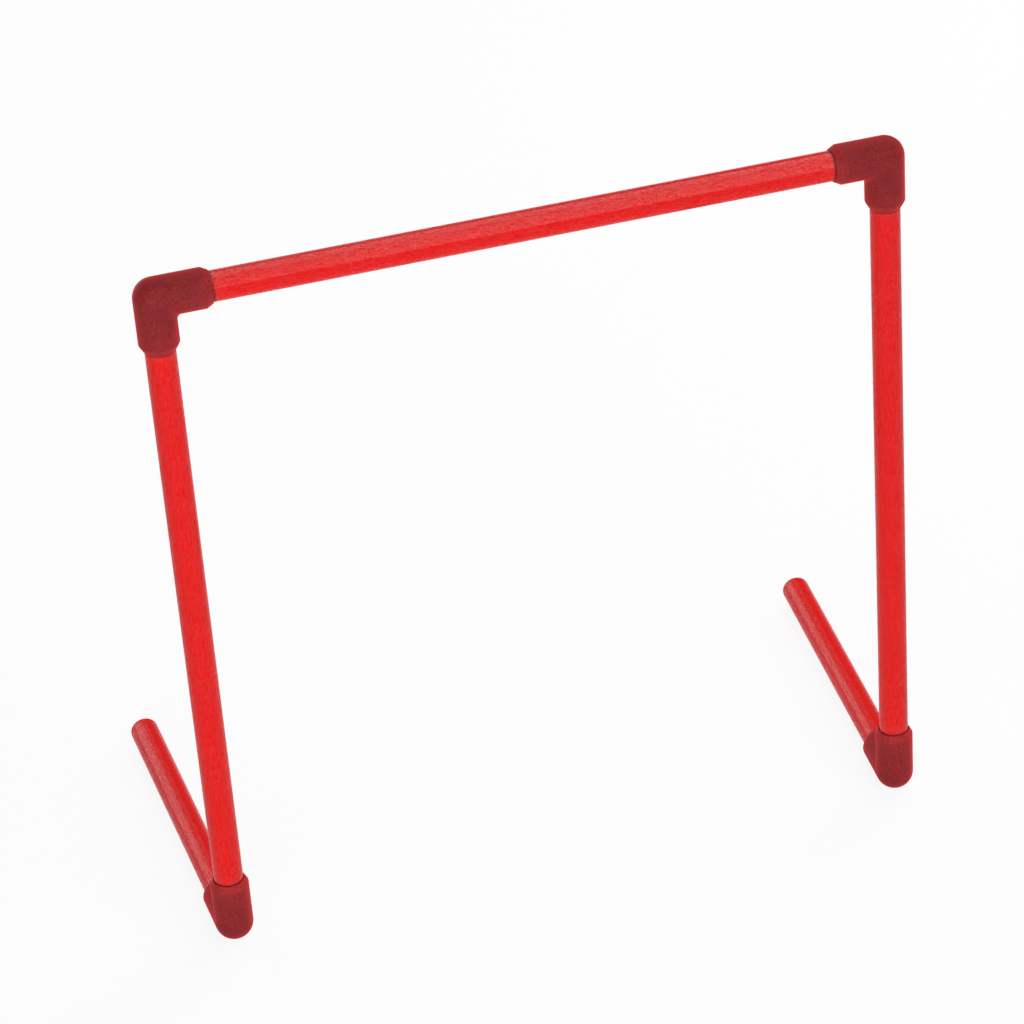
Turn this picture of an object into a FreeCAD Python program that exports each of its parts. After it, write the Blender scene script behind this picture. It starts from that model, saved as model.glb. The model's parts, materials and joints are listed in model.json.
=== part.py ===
import FreeCAD, Part
import os

import Sketcher
from FreeCAD import Placement, Rotation, Vector

# Speed hurdle: five plastic tubes pushed into four elbows, with a plug in the free end of each foot.
# X runs along the crossbar, Y towards the free ends of the feet and Z up from the floor.
# The origin lies on the floor, at the middle of the footprint.

# Driving sizes, in millimetres and degrees
SIZES = {
    "leg_spacing": 600.0,
    "bar_rise": 608.0,
    "foot_reach": 307.0,
    "toe_out": 3.0,
    "tube_od": 25.0,
    "tube_wall": 2.0,
    "tube_deburr": 0.5,
    "mark_width": 1.2,
    "mark_depth": 0.2,
    "elbow_wall": 3.95,
    "inner_corner_radius": 5.0,
    "socket_depth": 31.0,
    "socket_clearance": 0.05,
    "seat_gap": 0.2,
    "stop_margin": 1.5,
    "mouth_taper": 5.5,
    "lip_wall": 1.0,
    "lead_in": 0.7,
    "plug_head": 3.0,
    "plug_rounding": 2.0,
    "plug_inset": 0.15,
    "plug_stem": 16.0,
    "plug_wall": 1.6,
    "rib_height": 0.8,
    "rib_clearance": 0.05,
    "cut_overrun": 2.0,
}
RIB_COUNT = 4
RIB_FLAT_SHARE = 0.35
FULL_TURN = 360

# Sizes worked out from the driving sizes
TUBE_RADIUS = "(sizes.tube_od / 2)"
TUBE_BORE = f"({TUBE_RADIUS} - sizes.tube_wall)"
SOCKET_RADIUS = f"({TUBE_RADIUS} + sizes.socket_clearance)"
ELBOW_RADIUS = f"({SOCKET_RADIUS} + sizes.elbow_wall)"
LIP_RADIUS = f"({SOCKET_RADIUS} + sizes.lip_wall)"
STOP = f"({TUBE_RADIUS} + sizes.stop_margin)"
ARM = f"({STOP} + sizes.socket_depth)"
TUBE_START = f"({STOP} + sizes.seat_gap)"
INSERTION = "(sizes.socket_depth - sizes.seat_gap)"
BAR_LENGTH = f"(sizes.leg_spacing - 2 * {TUBE_START})"
LEG_LENGTH = f"(sizes.bar_rise - 2 * {TUBE_START})"
FOOT_LENGTH = f"(sizes.foot_reach - sizes.plug_head - {TUBE_START})"

# Where the pieces stand
HALF_SPACING = "(sizes.leg_spacing / 2)"
TOE_SINE = "sin(sizes.toe_out * 1 deg)"
TOE_COSINE = "cos(sizes.toe_out * 1 deg)"
LEG_PLANE = f"(({ELBOW_RADIUS} - sizes.foot_reach * {TOE_COSINE}) / 2)"
FOOT_AXIS_Z = ELBOW_RADIUS
BAR_AXIS_Z = f"({FOOT_AXIS_Z} + sizes.bar_rise)"

ALONG_X = Vector(1, 0, 0)
ALONG_Y = Vector(0, 1, 0)
ALONG_Z = Vector(0, 0, 1)

doc = FreeCAD.newDocument("speed_hurdle")
sheet = doc.addObject("Spreadsheet::Sheet", "sizes")
for row, (alias, size) in enumerate(SIZES.items(), start=1):
    sheet.set(f"A{row}", alias)
    sheet.set(f"B{row}", str(size))
    sheet.setAlias(f"B{row}", alias)
doc.recompute()


def number(expression):
    """The value of an expression as a plain number."""
    value = sheet.evalExpression(expression)
    return float(getattr(value, "Value", value))


def new_body(label):
    """An empty body named after its piece."""
    body = doc.addObject("PartDesign::Body", label)
    body.Label = label
    return body


def new_sketch(body, name):
    """An empty sketch on the body's own XZ plane."""
    sketch = body.newObject("Sketcher::SketchObject", name)
    planes = [part for part in body.Origin.OriginFeatures if part.Role == "XZ_Plane"]
    sketch.AttachmentSupport = (planes[0], [""])
    sketch.MapMode = "FlatFace"
    return sketch


def pin_corner(sketch, line, kind, axis, expression):
    """Fix one coordinate of a line's first point, on the axis where it is zero."""
    if expression == "0":
        sketch.addConstraint(Sketcher.Constraint("PointOnObject", line, 1, axis))
        return
    value = number(expression)
    index = sketch.addConstraint(Sketcher.Constraint(kind, -1, 1, line, 1, value))
    sketch.setExpression(f"Constraints[{index}]", expression)


def outline(sketch, corners):
    """A closed outline of straight lines through corners given as expressions."""
    points = [Vector(number(across), number(up), 0) for across, up in corners]
    count = len(points)
    lines = []
    for index, start in enumerate(points):
        end = points[(index + 1) % count]
        lines.append(sketch.addGeometry(Part.LineSegment(start, end)))
    for index, line in enumerate(lines):
        following = lines[(index + 1) % count]
        sketch.addConstraint(Sketcher.Constraint("Coincident", line, 2, following, 1))
    for line, (across, up) in zip(lines, corners):
        pin_corner(sketch, line, "DistanceX", -2, across)
        pin_corner(sketch, line, "DistanceY", -1, up)


def turned(body, kind, name, axis, corners):
    """A full turn of an outline about the sketch's horizontal or vertical axis."""
    sketch = new_sketch(body, f"{name}_outline")
    outline(sketch, corners)
    feature = body.newObject(f"PartDesign::{kind}", name)
    feature.Profile = sketch
    feature.ReferenceAxis = (sketch, [axis])
    feature.Angle = FULL_TURN
    doc.recompute()
    return feature


def check_cut(before, after):
    """A cut has to take material away."""
    if not after.Shape.Volume < before.Shape.Volume:
        raise RuntimeError(f"{after.Name} cuts nothing")


def place(body, base, axis, angle):
    """Put a body at a base point and turn it about an axis, all by expressions."""
    body.Placement = Placement(Vector(), Rotation(axis, number(angle)))
    for letter, expression in zip("xyz", base):
        body.setExpression(f"Placement.Base.{letter}", expression)
    if angle != "0":
        body.setExpression("Placement.Rotation.Angle", f"{angle} * 1 deg")


def make_tube(label, length, marked_ends):
    """A tube along X with deburred ends and a scored ring at the depth of each socket."""
    body = new_body(label)
    groove_floor = f"({TUBE_RADIUS} - sizes.mark_depth)"
    corners = [("0", TUBE_BORE), ("0", f"({TUBE_RADIUS} - sizes.tube_deburr)")]
    corners.append(("sizes.tube_deburr", TUBE_RADIUS))
    ring_centres = [INSERTION, f"({length} - {INSERTION})"][:marked_ends]
    for centre in ring_centres:
        near = f"({centre} - sizes.mark_width / 2)"
        far = f"({centre} + sizes.mark_width / 2)"
        corners.append((near, TUBE_RADIUS))
        corners.append((near, groove_floor))
        corners.append((far, groove_floor))
        corners.append((far, TUBE_RADIUS))
    corners.append((f"({length} - sizes.tube_deburr)", TUBE_RADIUS))
    corners.append((length, f"({TUBE_RADIUS} - sizes.tube_deburr)"))
    corners.append((length, TUBE_BORE))
    turned(body, "Revolution", "tube", "H_Axis", corners)
    return body


def flipped(corners):
    """The same outline with its two coordinates exchanged."""
    return [(up, across) for across, up in corners]


def make_elbow(label):
    """A right-angled elbow with its corner at the origin and sockets along X and Z."""
    body = new_body(label)
    taper_start = f"({ARM} - sizes.mouth_taper)"
    arm = [
        ("0", "0"),
        (ELBOW_RADIUS, "0"),
        (ELBOW_RADIUS, taper_start),
        (LIP_RADIUS, ARM),
        ("0", ARM),
    ]
    turned(body, "Revolution", "upright_arm", "V_Axis", arm)
    turned(body, "Revolution", "level_arm", "H_Axis", flipped(arm))
    corner = body.newObject("PartDesign::AdditiveSphere", "corner_ball")
    corner.setExpression("Radius", ELBOW_RADIUS)
    doc.recompute()

    creases = []
    for index, edge in enumerate(corner.Shape.Edges, start=1):
        if not edge.Degenerated and isinstance(edge.Curve, Part.Ellipse):
            creases.append(f"Edge{index}")
    rounded = body.newObject("PartDesign::Fillet", "inner_corner")
    rounded.Base = (corner, creases)
    rounded.setExpression("Radius", "sizes.inner_corner_radius")
    doc.recompute()

    mouth_radius = f"({SOCKET_RADIUS} + sizes.lead_in)"
    beyond = f"({ARM} + sizes.cut_overrun)"
    socket = [
        ("0", "0"),
        (TUBE_BORE, "0"),
        (TUBE_BORE, STOP),
        (SOCKET_RADIUS, STOP),
        (SOCKET_RADIUS, f"({ARM} - sizes.lead_in)"),
        (mouth_radius, ARM),
        (mouth_radius, beyond),
        ("0", beyond),
    ]
    upright_socket = turned(body, "Groove", "upright_socket", "V_Axis", socket)
    check_cut(rounded, upright_socket)
    level_socket = turned(body, "Groove", "level_socket", "H_Axis", flipped(socket))
    check_cut(upright_socket, level_socket)
    hollow = body.newObject("PartDesign::SubtractiveSphere", "corner_hollow")
    hollow.setExpression("Radius", TUBE_BORE)
    doc.recompute()
    check_cut(level_socket, hollow)
    return body


def make_plug(label):
    """A ribbed, hollow tube plug along X, with its rounded head outside the tube."""
    body = new_body(label)
    head_radius = f"({TUBE_RADIUS} - sizes.plug_inset)"
    rib_radius = f"({TUBE_BORE} - sizes.rib_clearance)"
    core_radius = f"({rib_radius} - sizes.rib_height)"
    hollow_radius = f"({core_radius} - sizes.plug_wall)"
    rib_pitch = f"(sizes.plug_stem / {RIB_COUNT})"
    corners = [("sizes.plug_head", "0"), ("sizes.plug_head", head_radius), ("0", head_radius)]
    for rib in range(RIB_COUNT):
        start = f"(-{rib} * {rib_pitch})" if rib else "0"
        crest = f"(-({rib} + {RIB_FLAT_SHARE}) * {rib_pitch})"
        root = f"(-({rib} + 1) * {rib_pitch})"
        corners.append((start, rib_radius))
        corners.append((crest, rib_radius))
        corners.append((root, core_radius))
    corners.append(("-sizes.plug_stem", hollow_radius))
    corners.append(("-sizes.plug_wall", hollow_radius))
    corners.append(("-sizes.plug_wall", "0"))
    plug = turned(body, "Revolution", "plug", "H_Axis", corners)

    rim = []
    for index, edge in enumerate(plug.Shape.Edges, start=1):
        outermost = edge.BoundBox.XMin == plug.Shape.BoundBox.XMax
        if not edge.Degenerated and isinstance(edge.Curve, Part.Circle) and outermost:
            rim.append(f"Edge{index}")
    head = body.newObject("PartDesign::Fillet", "head_rounding")
    head.Base = (plug, rim)
    head.setExpression("Radius", "sizes.plug_rounding")
    doc.recompute()
    return body


pieces = []

crossbar = make_tube("crossbar", BAR_LENGTH, 2)
place(crossbar, (f"{TUBE_START} - {HALF_SPACING}", LEG_PLANE, BAR_AXIS_Z), ALONG_X, "0")
pieces.append(crossbar)

for side, sign in (("left", "-1"), ("right", "1")):
    leg_x = f"({sign} * {HALF_SPACING})"
    foot_turn = f"(90 - {sign} * sizes.toe_out)"

    top_elbow = make_elbow(f"top_{side}_elbow")
    flip_axis = ALONG_X if side == "left" else ALONG_Y
    place(top_elbow, (leg_x, LEG_PLANE, BAR_AXIS_Z), flip_axis, "180")

    leg = make_tube(f"{side}_leg", LEG_LENGTH, 2)
    place(leg, (leg_x, LEG_PLANE, f"{FOOT_AXIS_Z} + {TUBE_START}"), ALONG_Y, "(-90)")

    bottom_elbow = make_elbow(f"bottom_{side}_elbow")
    place(bottom_elbow, (leg_x, LEG_PLANE, FOOT_AXIS_Z), ALONG_Z, foot_turn)

    foot = make_tube(f"{side}_foot", FOOT_LENGTH, 1)
    plug = make_plug(f"{side}_foot_plug")
    tube_end = "(sizes.foot_reach - sizes.plug_head)"
    for piece, distance in ((foot, TUBE_START), (plug, tube_end)):
        base_x = f"{leg_x} + {sign} * {distance} * {TOE_SINE}"
        base_y = f"{LEG_PLANE} + {distance} * {TOE_COSINE}"
        place(piece, (base_x, base_y, FOOT_AXIS_Z), ALONG_Z, foot_turn)

    pieces += [top_elbow, leg, bottom_elbow, foot, plug]

doc.recompute()
for item in doc.Objects:
    if "Invalid" in item.State or "Error" in item.State:
        raise RuntimeError(f"{item.Name} failed: {item.State}")
for piece in pieces:
    if piece.Shape.isNull() or not piece.Shape.isValid() or len(piece.Shape.Solids) != 1:
        raise RuntimeError(f"{piece.Label} is not one valid solid")

os.makedirs("parts", exist_ok=True)
for piece in pieces:
    piece.Shape.exportStep(f"parts/{piece.Label}.step")
    box = piece.Shape.BoundBox
    print(
        f"{piece.Label}: {piece.Shape.Volume / 1000:.2f} cm3,"
        f" x {box.XMin:.2f} to {box.XMax:.2f},"
        f" y {box.YMin:.2f} to {box.YMax:.2f},"
        f" z {box.ZMin:.2f} to {box.ZMax:.2f}"
    )
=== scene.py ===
import json
from math import cos, pi, radians, sin

import bmesh
import bpy
import numpy as np
from mathutils import Matrix, Vector

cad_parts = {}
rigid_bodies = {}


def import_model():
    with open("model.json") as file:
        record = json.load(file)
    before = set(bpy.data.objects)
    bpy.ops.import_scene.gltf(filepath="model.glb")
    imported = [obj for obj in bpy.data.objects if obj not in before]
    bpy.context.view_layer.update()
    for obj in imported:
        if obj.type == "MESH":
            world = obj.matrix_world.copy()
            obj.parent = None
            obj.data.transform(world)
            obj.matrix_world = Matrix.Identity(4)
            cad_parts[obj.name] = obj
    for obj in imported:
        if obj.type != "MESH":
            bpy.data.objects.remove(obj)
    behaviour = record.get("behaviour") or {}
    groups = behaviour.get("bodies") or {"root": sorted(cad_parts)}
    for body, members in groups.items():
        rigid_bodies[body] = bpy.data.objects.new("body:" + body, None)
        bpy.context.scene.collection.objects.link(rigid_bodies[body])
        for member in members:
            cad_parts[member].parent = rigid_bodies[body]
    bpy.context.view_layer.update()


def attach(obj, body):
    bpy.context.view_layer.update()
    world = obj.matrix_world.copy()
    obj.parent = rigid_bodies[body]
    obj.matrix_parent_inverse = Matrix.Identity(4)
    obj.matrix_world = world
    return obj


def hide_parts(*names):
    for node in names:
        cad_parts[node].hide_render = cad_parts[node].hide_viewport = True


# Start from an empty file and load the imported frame
for leftover in list(bpy.data.objects):
    bpy.data.objects.remove(leftover)
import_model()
scene = bpy.context.scene
scene.view_settings.view_transform = "Standard"

MM = 0.001
FULL_TURN = 2 * pi
QUARTER_TURN = pi / 2

# Sizes of the hurdle, in millimetres and degrees, as in the part's own table
LEG_SPACING = 600.0
BAR_RISE = 608.0
FOOT_REACH = 307.0
TOE_OUT = 3.0
TUBE_RADIUS = 12.5
TUBE_BORE = 10.5
TUBE_DEBURR = 0.5
MARK_WIDTH = 1.2
MARK_DEPTH = 0.2
SOCKET_RADIUS = 12.55
ELBOW_RADIUS = 16.5
INNER_CORNER = 5.0
LIP_RADIUS = 13.55
STOP = 14.0
ARM = 45.0
MOUTH_TAPER = 5.5
LEAD_IN = 0.7
SEAT_GAP = 0.2
PLUG_HEAD = 3.0
PLUG_ROUNDING = 2.0
PLUG_HEAD_RADIUS = 12.35
PLUG_STEM = 16.0
PLUG_WALL = 1.6
PLUG_RIB_RADIUS = 10.45
PLUG_CORE_RADIUS = 9.65
PLUG_RIBS = 4
PLUG_RIB_FLAT_SHARE = 0.35

# Fine detail that only the looks have, in millimetres
MARK_SLOPE = 0.15
LIP_ROUNDING = 0.25
TAPER_ROUNDING = 1.6
PARTING_HEIGHT = 0.09
PARTING_HALF_WIDTH = 0.3
PLUG_DIMPLE_RADIUS = 2.2
PLUG_DIMPLE_DEPTH = 0.5
PLUG_DIMPLE_ROUNDING = 0.3
PLUG_SEAT_ROUNDING = 0.25
PLUG_WORN_BAND = 1.2

# Wear painted on a tube, at distances in millimetres outward from a scored ring's middle or outer edge
RING_WEAR = 1.0
WEAR_FROM_MIDDLE = ((14.0, 0.0), (5.0, 0.55), (-6.0, 0.8))
WEAR_FROM_EDGE = ((0.9, 0.9), (2.0, 0.8))
# Dirt and painted shade reach this far, in millimetres, past a scored ring's outer edge, beside the elbow's
# lip
DIRT_AND_SHADE_REACH = 0.9

# How worn an elbow's mouths are, at the lip and where the taper ends; the bottom elbows' larger values are
# also painted highlight on their upward lips
TOP_LIP_WEAR = (1.0, 0.35)
BOTTOM_LIP_WEAR_AND_HIGHLIGHT = (2.6, 0.5)

# How finely the meshes are divided, with close angles beside the parting line
TUBE_SIDES = 128
ELBOW_SIDES = 96
PLUG_SIDES = 96
ROUND_STEPS = 4
BEND_STEPS = 40
HOLLOW_STEPS = 16
PARTING_ANGLES = (-0.030, -0.018, -0.009, 0.009, 0.018, 0.030)
SEARCH_RADII = 3.0
SEARCH_HALVINGS = 40
SHARP_ANGLE = 32.0

TUBE_START = STOP + SEAT_GAP
INSERTION = ARM - TUBE_START
TOE = radians(TOE_OUT)
LEG_PLANE = (ELBOW_RADIUS - FOOT_REACH * cos(TOE)) / 2
FOOT_AXIS_Z = ELBOW_RADIUS
BAR_AXIS_Z = FOOT_AXIS_Z + BAR_RISE
SIDES = (("left", -1), ("right", 1))


# Mesh helpers

def rounded(before, corner, after, radius):
    """Points of a small round in place of a profile's corner."""
    before, corner, after = (np.array(point, float) for point in (before, corner, after))
    back = (before - corner) / np.linalg.norm(before - corner)
    on = (after - corner) / np.linalg.norm(after - corner)
    half = np.arccos(np.clip(back @ on, -1.0, 1.0)) / 2
    reach = radius / np.tan(half)
    bisector = (back + on) / np.linalg.norm(back + on)
    centre = corner + bisector * radius / np.sin(half)
    first = corner + back * reach - centre
    last = corner + on * reach - centre
    points = []
    for share in np.linspace(0.0, 1.0, ROUND_STEPS + 1):
        spoke = first * (1.0 - share) + last * share
        points.append(centre + spoke * radius / np.linalg.norm(spoke))
    return points


def soften(profile, radii):
    """A closed profile with the corners that have a radius rounded."""
    count = len(profile)
    points = []
    for index, corner in enumerate(profile):
        radius = radii.get(index)
        if radius is None:
            points.append(np.array(corner, float))
        else:
            points += rounded(profile[index - 1], corner, profile[(index + 1) % count], radius)
    return points


def closed_mesh(name, rings, paints, capped=False):
    """A closed mesh from rings of points in millimetres, with values painted on the points.

    The last ring is joined to the first, or both are capped with a fan about their centres.
    """
    rings = np.array(rings, float) * MM
    ring_count, around, _ = rings.shape
    points = rings.reshape(-1, 3)
    faces = []
    for ring in range(ring_count - 1 if capped else ring_count):
        following = (ring + 1) % ring_count
        for step in range(around):
            beside = (step + 1) % around
            faces.append((
                ring * around + step, ring * around + beside,
                following * around + beside, following * around + step,
            ))
    paints = {label: np.array(values, np.float32).reshape(-1) for label, values in paints.items()}
    if capped:
        for ring in (0, ring_count - 1):
            first = ring * around
            centre = len(points)
            points = np.vstack([points, rings[ring].mean(axis=0)])
            faces += [(first + step, first + (step + 1) % around, centre) for step in range(around)]
            paints = {label: np.append(values, values[first]) for label, values in paints.items()}
    mesh = bpy.data.meshes.new(name)
    mesh.from_pydata([tuple(point) for point in points], [], faces)
    for label, values in paints.items():
        layer = mesh.attributes.new(label, "FLOAT", "POINT")
        layer.data.foreach_set("value", values)
    shell = bmesh.new()
    shell.from_mesh(mesh)
    bmesh.ops.recalc_face_normals(shell, faces=shell.faces)
    shell.to_mesh(mesh)
    shell.free()
    mesh.shade_smooth()
    mesh.set_sharp_from_angle(angle=radians(SHARP_ANGLE))
    return mesh


def turned_rings(profile, around):
    """Rings about X from profile points of place along the axis and radius."""
    angles = np.linspace(0.0, FULL_TURN, around, endpoint=False)
    return [
        np.column_stack([np.full(around, along), radius * np.cos(angles), radius * np.sin(angles)])
        for along, radius in profile
    ]


def add_piece(name, mesh, place, body, node, material):
    """Put a finished piece in the scene, on its body and in place of its node."""
    piece = bpy.data.objects.new(name, mesh)
    scene.collection.objects.link(piece)
    piece.matrix_world = place
    mesh.materials.append(material)
    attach(piece, body)
    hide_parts(node)


# Material helpers

class Nodes:
    """The node tree of a material or world, with helpers that add a node and give back its result."""

    def __init__(self, owner):
        owner.use_nodes = True
        self.tree = owner.node_tree

    def found(self, name):
        """A node that a new tree starts with."""
        return self.tree.nodes[name]

    def add(self, kind, operation=None):
        """A new node, set to an operation where its kind has several."""
        node = self.tree.nodes.new(kind)
        if operation is not None:
            node.operation = operation
        return node

    def link(self, source, target):
        """Lead a result into a socket."""
        self.tree.links.new(source, target)

    def place(self):
        """The piece's own coordinates, in metres."""
        return self.add("ShaderNodeTexCoord").outputs["Object"]

    def painted(self, label):
        """A value painted on the piece's points."""
        node = self.add("ShaderNodeAttribute")
        node.attribute_name = label
        return node.outputs["Fac"]

    def noise(self, vector, scale, detail, roughness):
        """A noise pattern on a coordinate, in features per metre."""
        node = self.add("ShaderNodeTexNoise")
        node.inputs["Scale"].default_value = scale
        node.inputs["Detail"].default_value = detail
        node.inputs["Roughness"].default_value = roughness
        self.link(vector, node.inputs["Vector"])
        return node.outputs["Fac"]

    def stretched(self, vector, scale):
        """A coordinate scaled by its own amount along each axis."""
        node = self.add("ShaderNodeMapping")
        node.inputs["Scale"].default_value = scale
        self.link(vector, node.inputs["Vector"])
        return node.outputs["Vector"]

    def ramp(self, value, stops):
        """A colour ramp through given places and colours."""
        node = self.add("ShaderNodeValToRGB")
        elements = node.color_ramp.elements
        while len(elements) < len(stops):
            elements.new(stops[len(elements) - 1][0])
        for element, (place, colour) in zip(elements, stops):
            element.position = place
            element.color = (*colour, 1.0)
        self.link(value, node.inputs["Fac"])
        return node.outputs["Color"]

    def span(self, value, low, high, to_low, to_high):
        """A value spread from one range to another and kept inside it."""
        node = self.add("ShaderNodeMapRange")
        node.inputs["From Min"].default_value = low
        node.inputs["From Max"].default_value = high
        node.inputs["To Min"].default_value = to_low
        node.inputs["To Max"].default_value = to_high
        self.link(value, node.inputs["Value"])
        return node.outputs["Result"]

    def blend(self, share, first, second):
        """A mix of a colour from a socket and a fixed colour."""
        node = self.add("ShaderNodeMix")
        node.data_type = "RGBA"
        below, above = [socket for socket in node.inputs if socket.type == "RGBA"]
        self.link(first, below)
        above.default_value = (*second, 1.0)
        self.link(share, node.inputs["Factor"])
        return [socket for socket in node.outputs if socket.type == "RGBA"][0]

    def combined(self, operation, first, second):
        """Two values joined by an operation."""
        node = self.add("ShaderNodeMath", operation)
        self.link(first, node.inputs[0])
        self.link(second, node.inputs[1])
        return node.outputs["Value"]

    def times(self, first, second):
        """The product of two values."""
        return self.combined("MULTIPLY", first, second)

    def strongest(self, values):
        """The largest of several values."""
        best = values[0]
        for value in values[1:]:
            best = self.combined("MAXIMUM", best, value)
        return best

    def bumped(self, height, distance, strength, under=None):
        """A bump of a given depth in metres, on top of another one."""
        node = self.add("ShaderNodeBump")
        node.inputs["Distance"].default_value = distance
        node.inputs["Strength"].default_value = strength
        self.link(height, node.inputs["Height"])
        if under is not None:
            self.link(under, node.inputs["Normal"])
        return node.outputs["Normal"]


def new_material(name, values):
    """A material with its nodes and its shader, on which some sockets are set to fixed values."""
    material = bpy.data.materials.new(name)
    nodes = Nodes(material)
    shader = nodes.found("Principled BSDF")
    for socket, value in values.items():
        shader.inputs[socket].default_value = value
    return material, nodes, shader


# Materials. A pattern is features per metre, detail and roughness. A stretch is features per metre along
# each axis. A range or a roughness is where a pattern starts and ends and what these become. A body is the
# places and colours of a ramp. A bump is its depth in metres and its strength.

TUBE_VALUES = {"Specular IOR Level": 0.0, "Coat Roughness": 0.18}
TUBE_GRAIN = (520.0, 2.0, 0.6)
TUBE_GRAIN_BUMP = (0.00010, 1.0)
TUBE_BODY = ((0.34, (0.705, 0.0012, 0.0010)), (0.66, (0.790, 0.0034, 0.0026)))
TUBE_ROUGHNESS = (0.25, 0.75, 0.14, 0.26)
DIE_LINE_STRETCH = (5.0, 620.0, 620.0)
DIE_LINE_PATTERN = (1.0, 3.0, 0.5)
DIE_LINE_BUMP = (0.00004, 0.35)
SCUFF_STRETCH = (60.0, 260.0, 260.0)
SCUFF_PATTERN = (1.0, 5.0, 0.62)
SCUFF_RANGE = (0.64, 0.76, 0.0, 0.22)
SCUFF_COLOUR = (0.78, 0.025, 0.022)
TUBE_RUB_RANGE = (0.30, 0.62, 0.02, 0.16)
TUBE_RUB_COLOUR = (0.77, 0.090, 0.080)
# Dirt and painted shade at the scored rings and beside the elbows' lips
TUBE_DIRT_SHADE_RANGE = (0.30, 0.60, 0.55, 0.95)
TUBE_DIRT_SHADE_COLOUR = (0.260, 0.006, 0.008)
SKIN_PATTERN = (700.0, 1.0, 0.5)
SKIN_RANGE = (0.34, 0.66, 0.19, 0.84)


def make_tube_material():
    """Red extruded plastic: grain, lengthwise die lines, scuffs, rubbed ends, dirt with painted shade at the
    scored rings, and a patchy clear skin.
    """
    material, nodes, shader = new_material("tube_red_plastic", TUBE_VALUES)
    place = nodes.place()
    grain = nodes.noise(place, *TUBE_GRAIN)
    lines = nodes.noise(nodes.stretched(place, DIE_LINE_STRETCH), *DIE_LINE_PATTERN)
    scuffs = nodes.noise(nodes.stretched(place, SCUFF_STRETCH), *SCUFF_PATTERN)
    skin = nodes.noise(place, *SKIN_PATTERN)
    body = nodes.ramp(grain, TUBE_BODY)
    scuffed = nodes.blend(nodes.span(scuffs, *SCUFF_RANGE), body, SCUFF_COLOUR)
    rubbed = nodes.times(nodes.painted("wear"), nodes.span(lines, *TUBE_RUB_RANGE))
    worn = nodes.blend(rubbed, scuffed, TUBE_RUB_COLOUR)
    # Dirt and painted shade darken the scored rings and the tube just outside the elbow's lip
    dirty_shaded = nodes.times(nodes.painted("grime_and_shade"), nodes.span(scuffs, *TUBE_DIRT_SHADE_RANGE))
    nodes.link(nodes.blend(dirty_shaded, worn, TUBE_DIRT_SHADE_COLOUR), shader.inputs["Base Color"])
    nodes.link(nodes.span(scuffs, *TUBE_ROUGHNESS), shader.inputs["Roughness"])
    nodes.link(nodes.span(skin, *SKIN_RANGE), shader.inputs["Coat Weight"])
    die_lines = nodes.bumped(lines, *DIE_LINE_BUMP)
    nodes.link(nodes.bumped(grain, *TUBE_GRAIN_BUMP, die_lines), shader.inputs["Normal"])
    return material


ELBOW_VALUES = {
    "Specular IOR Level": 0.12,
    "Sheen Weight": 1.0,
    "Sheen Roughness": 0.45,
    "Sheen Tint": (1.0, 0.030, 0.035, 1.0),
}
ELBOW_GRAIN = (620.0, 4.0, 0.6)
ELBOW_BODY = (
    (0.30, (0.140, 0.010, 0.012)),
    (0.50, (0.238, 0.017, 0.019)),
    (0.70, (0.335, 0.028, 0.027)),
)
ELBOW_ROUGHNESS = (0.30, 0.70, 0.50, 0.66)
CLOUD_PATTERN = (75.0, 3.0, 0.5)
CLOUD_RANGE = (0.48, 0.66, 0.0, 0.45)
CLOUD_COLOUR = (0.155, 0.012, 0.026)
# Wear at the mouths, which on the bottom elbows is also painted highlight on the upward lips
ELBOW_RUB_AND_HIGHLIGHT_RANGE = (0.30, 0.60, 0.25, 0.80)
ELBOW_RUB_AND_HIGHLIGHT_COLOUR = (0.42, 0.026, 0.028)
# Dirt and painted shade in each mouth's lead-in and lip
ELBOW_DIRT_SHADE_RANGE = (0.35, 0.60, 0.70, 1.0)
ELBOW_DIRT_SHADE_COLOUR = (0.095, 0.007, 0.009)
SPARK_PATTERN = (1100.0, 3.0, 0.55)
SPARK_BUMP = (0.00008, 0.45)


def make_elbow_material():
    """Dark red moulded plastic: spark-eroded grain, cloudy pigment, brighter edges that are wear and, on the
    bottom elbows' upward lips, also painted highlight, dirt with painted shade in the mouths, and a red
    sheen.
    """
    material, nodes, shader = new_material("elbow_maroon_plastic", ELBOW_VALUES)
    place = nodes.place()
    grain = nodes.noise(place, *ELBOW_GRAIN)
    clouds = nodes.noise(place, *CLOUD_PATTERN)
    spark = nodes.noise(place, *SPARK_PATTERN)
    body = nodes.ramp(grain, ELBOW_BODY)
    clouded = nodes.blend(nodes.span(clouds, *CLOUD_RANGE), body, CLOUD_COLOUR)
    # Wear brightens the mouths; the bottom elbows' stronger values add painted highlight where their lips
    # face up
    rubbed = nodes.times(nodes.painted("wear"), nodes.span(grain, *ELBOW_RUB_AND_HIGHLIGHT_RANGE))
    worn = nodes.blend(rubbed, clouded, ELBOW_RUB_AND_HIGHLIGHT_COLOUR)
    # Dirt and painted shade darken the mouths' lead-in and lip
    dirty_shaded = nodes.times(nodes.painted("grime_and_shade"), nodes.span(clouds, *ELBOW_DIRT_SHADE_RANGE))
    nodes.link(nodes.blend(dirty_shaded, worn, ELBOW_DIRT_SHADE_COLOUR), shader.inputs["Base Color"])
    nodes.link(nodes.span(grain, *ELBOW_ROUGHNESS), shader.inputs["Roughness"])
    nodes.link(nodes.bumped(spark, *SPARK_BUMP), shader.inputs["Normal"])
    return material


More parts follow.
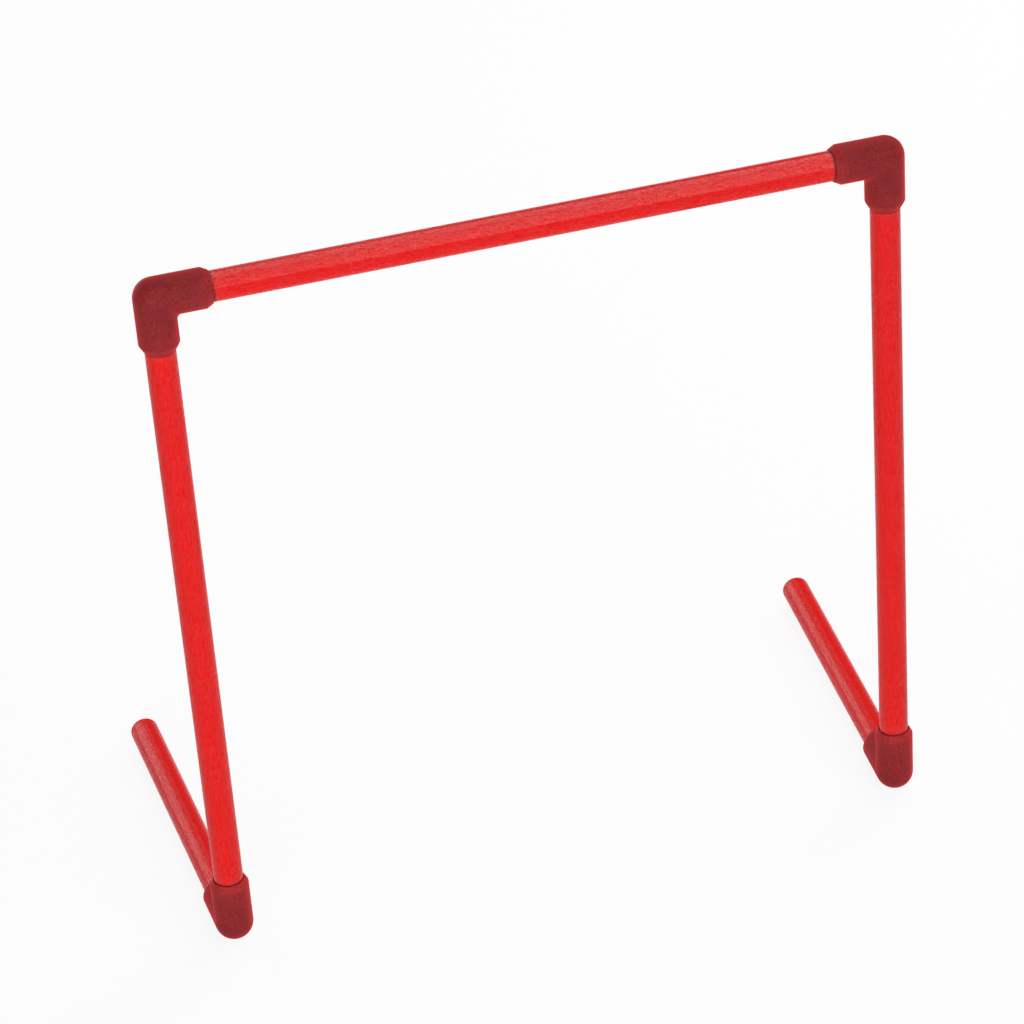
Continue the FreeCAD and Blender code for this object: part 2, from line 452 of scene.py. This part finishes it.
PLUG_VALUES = {"Specular IOR Level": 0.3}
PLUG_PATTERN = (180.0, 4.0, 0.5)
PLUG_BODY = ((0.30, (0.60, 0.010, 0.012)), (0.70, (0.70, 0.014, 0.015)))
PLUG_ROUGHNESS = (0.30, 0.70, 0.40, 0.52)
PLUG_RUB_RANGE = (0.35, 0.65, 0.1, 0.6)
PLUG_RUB_COLOUR = (0.76, 0.055, 0.050)
PLUG_GRAIN = (1300.0, 3.0, 0.5)
PLUG_GRAIN_BUMP = (0.00005, 0.3)


def make_plug_material():
    """Satin red moulded plastic with a soft grain and a paler rim."""
    material, nodes, shader = new_material("plug_red_plastic", PLUG_VALUES)
    place = nodes.place()
    clouds = nodes.noise(place, *PLUG_PATTERN)
    grain = nodes.noise(place, *PLUG_GRAIN)
    rubbed = nodes.times(nodes.painted("wear"), nodes.span(clouds, *PLUG_RUB_RANGE))
    worn = nodes.blend(rubbed, nodes.ramp(clouds, PLUG_BODY), PLUG_RUB_COLOUR)
    nodes.link(worn, shader.inputs["Base Color"])
    nodes.link(nodes.span(clouds, *PLUG_ROUGHNESS), shader.inputs["Roughness"])
    nodes.link(nodes.bumped(grain, *PLUG_GRAIN_BUMP), shader.inputs["Normal"])
    return material


# Pieces

def tube_mesh(name, length, marked_ends):
    """A tube along X with rounded ends, a bore and a scored ring at each socket's depth."""
    floor = TUBE_RADIUS - MARK_DEPTH
    profile = [(0.0, TUBE_BORE), (0.0, TUBE_RADIUS - TUBE_DEBURR), (TUBE_DEBURR, TUBE_RADIUS)]
    wear = [0.0, 0.0, 0.0]
    dirty_shaded_places = []
    for centre in [INSERTION, length - INSERTION][:marked_ends]:
        near = centre - MARK_WIDTH / 2
        far = centre + MARK_WIDTH / 2
        outward = 1.0 if centre < length / 2 else -1.0
        edge = far if outward > 0 else near
        # Dirt and painted shade go on the scored ring's floor and just past its outer edge, beside the
        # elbow's lip
        dirty_shaded_places += [near + MARK_SLOPE, far - MARK_SLOPE, edge, edge + outward * DIRT_AND_SHADE_REACH]
        stations = [(near, RING_WEAR), (far, RING_WEAR)]
        stations += [(centre + outward * distance, amount) for distance, amount in WEAR_FROM_MIDDLE]
        stations += [(edge + outward * distance, amount) for distance, amount in WEAR_FROM_EDGE]
        for along, amount in sorted(stations):
            if along == near:
                profile += [(near, TUBE_RADIUS), (near + MARK_SLOPE, floor)]
                wear += [amount, amount]
            elif along == far:
                profile += [(far - MARK_SLOPE, floor), (far, TUBE_RADIUS)]
                wear += [amount, amount]
            else:
                profile.append((along, TUBE_RADIUS))
                wear.append(amount)
    profile += [(length - TUBE_DEBURR, TUBE_RADIUS), (length, TUBE_RADIUS - TUBE_DEBURR), (length, TUBE_BORE)]
    wear += [0.0, 0.0, 0.0]
    grime_and_shade = [1.0 if along in dirty_shaded_places else 0.0 for along, _ in profile]
    paints = {"wear": np.repeat(wear, TUBE_SIDES), "grime_and_shade": np.repeat(grime_and_shade, TUBE_SIDES)}
    return closed_mesh(name, turned_rings(profile, TUBE_SIDES), paints)


def inside_elbow(points, radius, corner_radius):
    """Which points lie inside two arms that meet in a ball, with a round in their inner corner."""
    x, y, z = points[..., 0], points[..., 1], points[..., 2]
    ball = x * x + y * y + z * z <= radius * radius
    upright = (z >= 0.0) & (x * x + y * y <= radius * radius)
    level = (x >= 0.0) & (z * z + y * y <= radius * radius)
    half_width = np.sqrt(np.maximum(radius * radius - y * y, 0.0))
    centre = half_width * (1.0 + corner_radius / radius)
    outside_round = np.hypot(x - centre, z - centre) >= centre - half_width
    web = (np.abs(y) < radius) & (x >= 0.0) & (z >= 0.0) & (x <= centre) & (z <= centre) & outside_round
    return ball | upright | level | web


def bend_rings(angles, radius, corner_radius, pivot, steps):
    """Rings of a bend, in planes that fan out about a line inside the corner."""
    rings = []
    for turn in np.linspace(0.0, QUARTER_TURN, steps + 1):
        outward = np.array([-cos(turn), 0.0, -sin(turn)])
        centre = np.array([pivot, 0.0, pivot]) + outward * pivot / max(cos(turn), sin(turn))
        spokes = np.outer(np.cos(angles), -outward) + np.outer(np.sin(angles), [0.0, 1.0, 0.0])
        low = np.zeros(len(angles))
        high = np.full(len(angles), SEARCH_RADII * radius)
        for _ in range(SEARCH_HALVINGS):
            middle = (low + high) / 2
            held = inside_elbow(centre + spokes * middle[:, None], radius, corner_radius)
            low = np.where(held, middle, low)
            high = np.where(held, high, middle)
        rings.append(centre + spokes * low[:, None])
    return rings


def arm_rings(angles, profile):
    """Rings of the upright arm from profile points of height and radius."""
    return [
        np.column_stack([radius * np.cos(angles), radius * np.sin(angles), np.full(len(angles), height)])
        for height, radius in profile
    ]


def exchanged(rings):
    """The same rings on the other arm, in the opposite order."""
    return [ring[:, [2, 1, 0]] for ring in reversed(rings)]


def elbow_mesh(name, worn):
    """A moulded elbow with its corner at the origin, sockets along X and Z and a parting line all round."""
    even = np.linspace(0.0, FULL_TURN, ELBOW_SIDES, endpoint=False)
    close = np.array(PARTING_ANGLES)
    angles = np.sort(np.concatenate([even, close % FULL_TURN, pi + close]))
    pivot = ELBOW_RADIUS + INNER_CORNER
    mouth_profile = [
        (ARM - LEAD_IN, SOCKET_RADIUS),
        (ARM, LEAD_IN + SOCKET_RADIUS),
        (ARM, LIP_RADIUS),
        (ARM - MOUTH_TAPER, ELBOW_RADIUS),
        (pivot, ELBOW_RADIUS),
    ]
    mouth = soften(mouth_profile, {2: LIP_ROUNDING, 3: TAPER_ROUNDING})
    outer_arm = arm_rings(angles, mouth[1:-1])
    bend = bend_rings(angles, ELBOW_RADIUS, INNER_CORNER, pivot, BEND_STEPS)
    outer = outer_arm + bend + exchanged(outer_arm)
    cavity_arm = arm_rings(angles, [(ARM - LEAD_IN, SOCKET_RADIUS), (STOP, SOCKET_RADIUS)])
    hollow = bend_rings(angles, TUBE_BORE, 0.0, STOP, HOLLOW_STEPS)
    inner = cavity_arm + hollow + exchanged(cavity_arm)

    ridged = []
    for ring in outer:
        spokes = ring - ring.mean(axis=0)
        spokes /= np.linalg.norm(spokes, axis=1)[:, None]
        height = PARTING_HEIGHT * np.exp(-(ring[:, 1] / PARTING_HALF_WIDTH) ** 2)
        ridged.append(ring + spokes * height[:, None])

    count = len(outer_arm)
    last = len(outer) - 1
    wear = np.zeros((len(outer) + len(inner), len(angles)))
    # Lip wear, stronger on the bottom elbows as painted highlight on their upward lips
    lip_wear_and_highlight = np.linspace(*worn, count)[:, None]
    wear[:count] = lip_wear_and_highlight
    wear[len(outer) - count:len(outer)] = lip_wear_and_highlight[::-1]
    # Dirt and painted shade on each mouth's lead-in and lip
    grime_and_shade = np.zeros_like(wear)
    grime_and_shade[[0, 1, last - 1, last, last + 1, -1]] = 1.0
    return closed_mesh(name, ridged + list(reversed(inner)), {"wear": wear, "grime_and_shade": grime_and_shade})


def plug_mesh(name):
    """A ribbed hollow plug along X, with a rounded head and a shallow dimple in it."""
    profile = [
        (PLUG_HEAD - PLUG_DIMPLE_DEPTH, PLUG_DIMPLE_RADIUS / 2),
        (PLUG_HEAD - PLUG_DIMPLE_DEPTH, PLUG_DIMPLE_RADIUS),
        (PLUG_HEAD, PLUG_DIMPLE_RADIUS + PLUG_DIMPLE_DEPTH),
        (PLUG_HEAD, PLUG_HEAD_RADIUS),
        (0.0, PLUG_HEAD_RADIUS),
    ]
    pitch = PLUG_STEM / PLUG_RIBS
    for rib in range(PLUG_RIBS):
        profile.append((-rib * pitch, PLUG_RIB_RADIUS))
        profile.append((-(rib + PLUG_RIB_FLAT_SHARE) * pitch, PLUG_RIB_RADIUS))
        profile.append((-(rib + 1) * pitch, PLUG_CORE_RADIUS))
    profile.append((-PLUG_STEM, PLUG_CORE_RADIUS - PLUG_WALL))
    profile.append((-PLUG_WALL, PLUG_CORE_RADIUS - PLUG_WALL))
    profile.append((-PLUG_WALL, PLUG_CORE_RADIUS / 2))
    points = soften(profile, {2: PLUG_DIMPLE_ROUNDING, 3: PLUG_ROUNDING, 4: PLUG_SEAT_ROUNDING})
    wear = [1.0 if radius > PLUG_HEAD_RADIUS - PLUG_WORN_BAND else 0.0 for _, radius in points]
    paints = {"wear": np.repeat(wear, PLUG_SIDES)}
    return closed_mesh(name, turned_rings(points, PLUG_SIDES), paints, capped=True)


def placed(x, y, z, turn=Matrix.Identity(4)):
    """A placement in the part's frame from millimetres and a turn."""
    return Matrix.Translation(Vector((x, y, z)) * MM) @ turn


tube_material = make_tube_material()
elbow_material = make_elbow_material()
plug_material = make_plug_material()

add_piece(
    "crossbar_tube", tube_mesh("crossbar_tube", LEG_SPACING - 2 * TUBE_START, marked_ends=2),
    placed(TUBE_START - LEG_SPACING / 2, LEG_PLANE, BAR_AXIS_Z),
    "crossbar", "crossbar", tube_material,
)
for side, sign in SIDES:
    leg_x = sign * LEG_SPACING / 2
    foot_turn = Matrix.Rotation(QUARTER_TURN - sign * TOE, 4, "Z")
    add_piece(
        f"top_{side}_elbow_shell", elbow_mesh(f"top_{side}_elbow_shell", TOP_LIP_WEAR),
        placed(leg_x, LEG_PLANE, BAR_AXIS_Z, Matrix.Rotation(pi, 4, "X" if sign < 0 else "Y")),
        f"top_{side}_corner", f"top_{side}_elbow", elbow_material,
    )
    add_piece(
        f"{side}_leg_tube", tube_mesh(f"{side}_leg_tube", BAR_RISE - 2 * TUBE_START, marked_ends=2),
        placed(leg_x, LEG_PLANE, FOOT_AXIS_Z + TUBE_START, Matrix.Rotation(-QUARTER_TURN, 4, "Y")),
        f"{side}_leg", f"{side}_leg", tube_material,
    )
    add_piece(
        f"bottom_{side}_elbow_shell", elbow_mesh(f"bottom_{side}_elbow_shell", BOTTOM_LIP_WEAR_AND_HIGHLIGHT),
        placed(leg_x, LEG_PLANE, FOOT_AXIS_Z, foot_turn),
        f"bottom_{side}_corner", f"bottom_{side}_elbow", elbow_material,
    )
    foot_tube = tube_mesh(f"{side}_foot_tube", FOOT_REACH - PLUG_HEAD - TUBE_START, marked_ends=1)
    foot_plug = plug_mesh(f"{side}_foot_cap")
    for node, mesh, distance, material, slot in (
        (f"{side}_foot", foot_tube, TUBE_START, tube_material, "tube_red"),
        (f"{side}_foot_plug", foot_plug, FOOT_REACH - PLUG_HEAD, plug_material, "plug_red"),
    ):
        along_x = leg_x + sign * distance * sin(TOE)
        along_y = LEG_PLANE + distance * cos(TOE)
        add_piece(
            mesh.name, mesh, placed(along_x, along_y, FOOT_AXIS_Z, foot_turn),
            f"{side}_foot", node, material,
        )


# Stage: a pale floor in a white room, soft lamps and the photograph's camera, in metres and degrees

FLOOR_RADIUS = 6.0
FLOOR_DROP = 0.0002
FLOOR_SIDES = 96
FLOOR_VALUES = {"Roughness": 0.9, "Specular IOR Level": 0.1}
FLOOR_GRAIN = (60.0, 4.0, 0.5)
FLOOR_BODY = ((0.3, (0.90, 0.90, 0.90)), (0.7, (0.93, 0.93, 0.93)))

# How clear the floor is to the rays named here, out to where shadows reach; it is all clear at its rim
CLEAR_RAYS = ("Is Camera Ray", "Is Glossy Ray", "Is Transmission Ray", "Is Shadow Ray")
CLEAR_SHARE = 0.90
SHADOW_REACH = 1.5

# The light that the room gives, and its dim corner: the direction, where it starts and ends, its brightness
WHITE = (1.0, 1.0, 1.0, 1.0)
WORLD_LIGHT = 0.15
DIM_CORNER = (0.62, 0.70, 0.35)
DIM_EDGE = (0.865, 0.930)
DIM_SHARE = 0.25

# Long lamps: name, place across, the two ends in depth and height, width and radiance
STRIPS = (
    ("front_strip", 1.15, (-5.1, 1.20), (-0.51, 4.90), 1.8, 2.0),
    ("top_strip", 1.05, (-0.33, 4.90), (3.0, 3.73), 1.8, 2.3),
)

# Other lamps: name, centre, the point faced, width, length, radiance, and whether glossy surfaces show it
PANELS = (
    ("left_key", (-1.48, -2.78, 1.00), (0.0, 0.0, 0.4), 1.5, 1.5, 6.3, True),
    ("right_softbox", (2.51, 1.45, 1.65), (0.0, 0.0, 0.3), 1.5, 1.5, 6.1, False),
    ("back_softbox", (-1.55, 2.75, 1.15), (0.0, 0.0, 0.1), 2.1, 1.75, 1.75, True),
)

# The camera fitted to the tube edges in the photograph
CAMERA_PLACE = (-0.68098, -2.80405, 2.08284)
CAMERA_AZIMUTH = 13.7764
CAMERA_ELEVATION = 32.1209
CAMERA_ROLL = 4.4047
FOCAL_PIXELS = 3940.07
PHOTO_PIXELS = 1024.0
SENSOR_MM = 36.0
CAMERA_REACH = 100.0


def add_floor():
    """A wide pale floor with a faint grain, thin enough to show the room below, and clear at its rim."""
    turns = np.linspace(0.0, FULL_TURN, FLOOR_SIDES, endpoint=False)
    rim = [(FLOOR_RADIUS * cos(turn), FLOOR_RADIUS * sin(turn), 0.0) for turn in turns]
    mesh = bpy.data.meshes.new("floor")
    mesh.from_pydata(rim, [], [range(FLOOR_SIDES)])
    floor = bpy.data.objects.new("floor", mesh)
    floor.location.z = -FLOOR_DROP
    scene.collection.objects.link(floor)
    material, nodes, shader = new_material("pale_floor", FLOOR_VALUES)
    place = nodes.place()
    nodes.link(nodes.ramp(nodes.noise(place, *FLOOR_GRAIN), FLOOR_BODY), shader.inputs["Base Color"])
    distance = nodes.add("ShaderNodeVectorMath", "LENGTH")
    nodes.link(place, distance.inputs[0])
    clear_share = nodes.span(distance.outputs["Value"], SHADOW_REACH, FLOOR_RADIUS, CLEAR_SHARE, 1.0)
    rays = nodes.add("ShaderNodeLightPath").outputs
    seen = nodes.strongest([rays[kind] for kind in CLEAR_RAYS])
    mix = nodes.add("ShaderNodeMixShader")
    nodes.link(nodes.times(seen, clear_share), mix.inputs["Fac"])
    nodes.link(shader.outputs["BSDF"], mix.inputs[1])
    nodes.link(nodes.add("ShaderNodeBsdfTransparent").outputs["BSDF"], mix.inputs[2])
    nodes.link(mix.outputs["Shader"], nodes.found("Material Output").inputs["Surface"])
    mesh.materials.append(material)


def add_world():
    """A room that looks white, is mirrored with one dim corner, and gives a little light from all round."""
    world = bpy.data.worlds.new("white_room")
    nodes = Nodes(world)
    background = nodes.found("Background")
    background.inputs["Color"].default_value = WHITE
    nearness = nodes.add("ShaderNodeVectorMath", "DOT_PRODUCT")
    nodes.link(nodes.add("ShaderNodeTexCoord").outputs["Generated"], nearness.inputs[0])
    nearness.inputs[1].default_value = DIM_CORNER
    room = nodes.span(nearness.outputs["Value"], *DIM_EDGE, 1.0, DIM_SHARE)
    rays = nodes.add("ShaderNodeLightPath").outputs
    mirrored = nodes.times(rays["Is Glossy Ray"], room)
    seen = nodes.strongest([rays["Is Camera Ray"], rays["Is Transmission Ray"], mirrored])
    nodes.link(nodes.span(seen, 0.0, 1.0, WORLD_LIGHT, 1.0), background.inputs["Strength"])
    scene.world = world


def add_panel(name, centre, aim, width, length, radiance, mirrored):
    """A soft rectangular lamp of a given radiance that faces a point and is mirrored or not."""
    data = bpy.data.lights.new(name, "AREA")
    data.shape = "RECTANGLE"
    data.size = width
    data.size_y = length
    data.energy = radiance * pi * width * length
    lamp = bpy.data.objects.new(name, data)
    lamp.location = centre
    lamp.rotation_euler = (Vector(aim) - Vector(centre)).to_track_quat("-Z", "Y").to_euler()
    lamp.visible_camera = False
    lamp.visible_glossy = mirrored
    scene.collection.objects.link(lamp)


def add_strip(name, middle, start, end, width, radiance):
    """A long soft lamp that runs from one place to another in depth and height and faces the object."""
    (near, low), (far, high) = start, end
    length = np.hypot(far - near, high - low)
    centre = Vector((middle, (near + far) / 2, (low + high) / 2))
    facing = Vector((0.0, high - low, near - far)) / length
    add_panel(name, centre, centre + facing, width, length, radiance, mirrored=True)


def add_camera():
    """The camera at the photograph's angle and distance."""
    azimuth = radians(CAMERA_AZIMUTH)
    elevation = radians(CAMERA_ELEVATION)
    roll = radians(CAMERA_ROLL)
    level = cos(elevation)
    forward = Vector((sin(azimuth) * level, cos(azimuth) * level, -sin(elevation)))
    right = Vector((cos(azimuth), -sin(azimuth), 0.0))
    down = forward.cross(right)
    across = cos(roll) * right + sin(roll) * down
    up = sin(roll) * right - cos(roll) * down
    data = bpy.data.cameras.new("camera")
    data.sensor_width = SENSOR_MM
    data.lens = FOCAL_PIXELS / PHOTO_PIXELS * SENSOR_MM
    data.clip_end = CAMERA_REACH
    camera = bpy.data.objects.new("camera", data)
    turn = Matrix((across, up, -forward)).transposed().to_4x4()
    camera.matrix_world = Matrix.Translation(Vector(CAMERA_PLACE)) @ turn
    scene.collection.objects.link(camera)
    scene.camera = camera


add_floor()
add_world()
for strip in STRIPS:
    add_strip(*strip)
for panel in PANELS:
    add_panel(*panel)
add_camera()
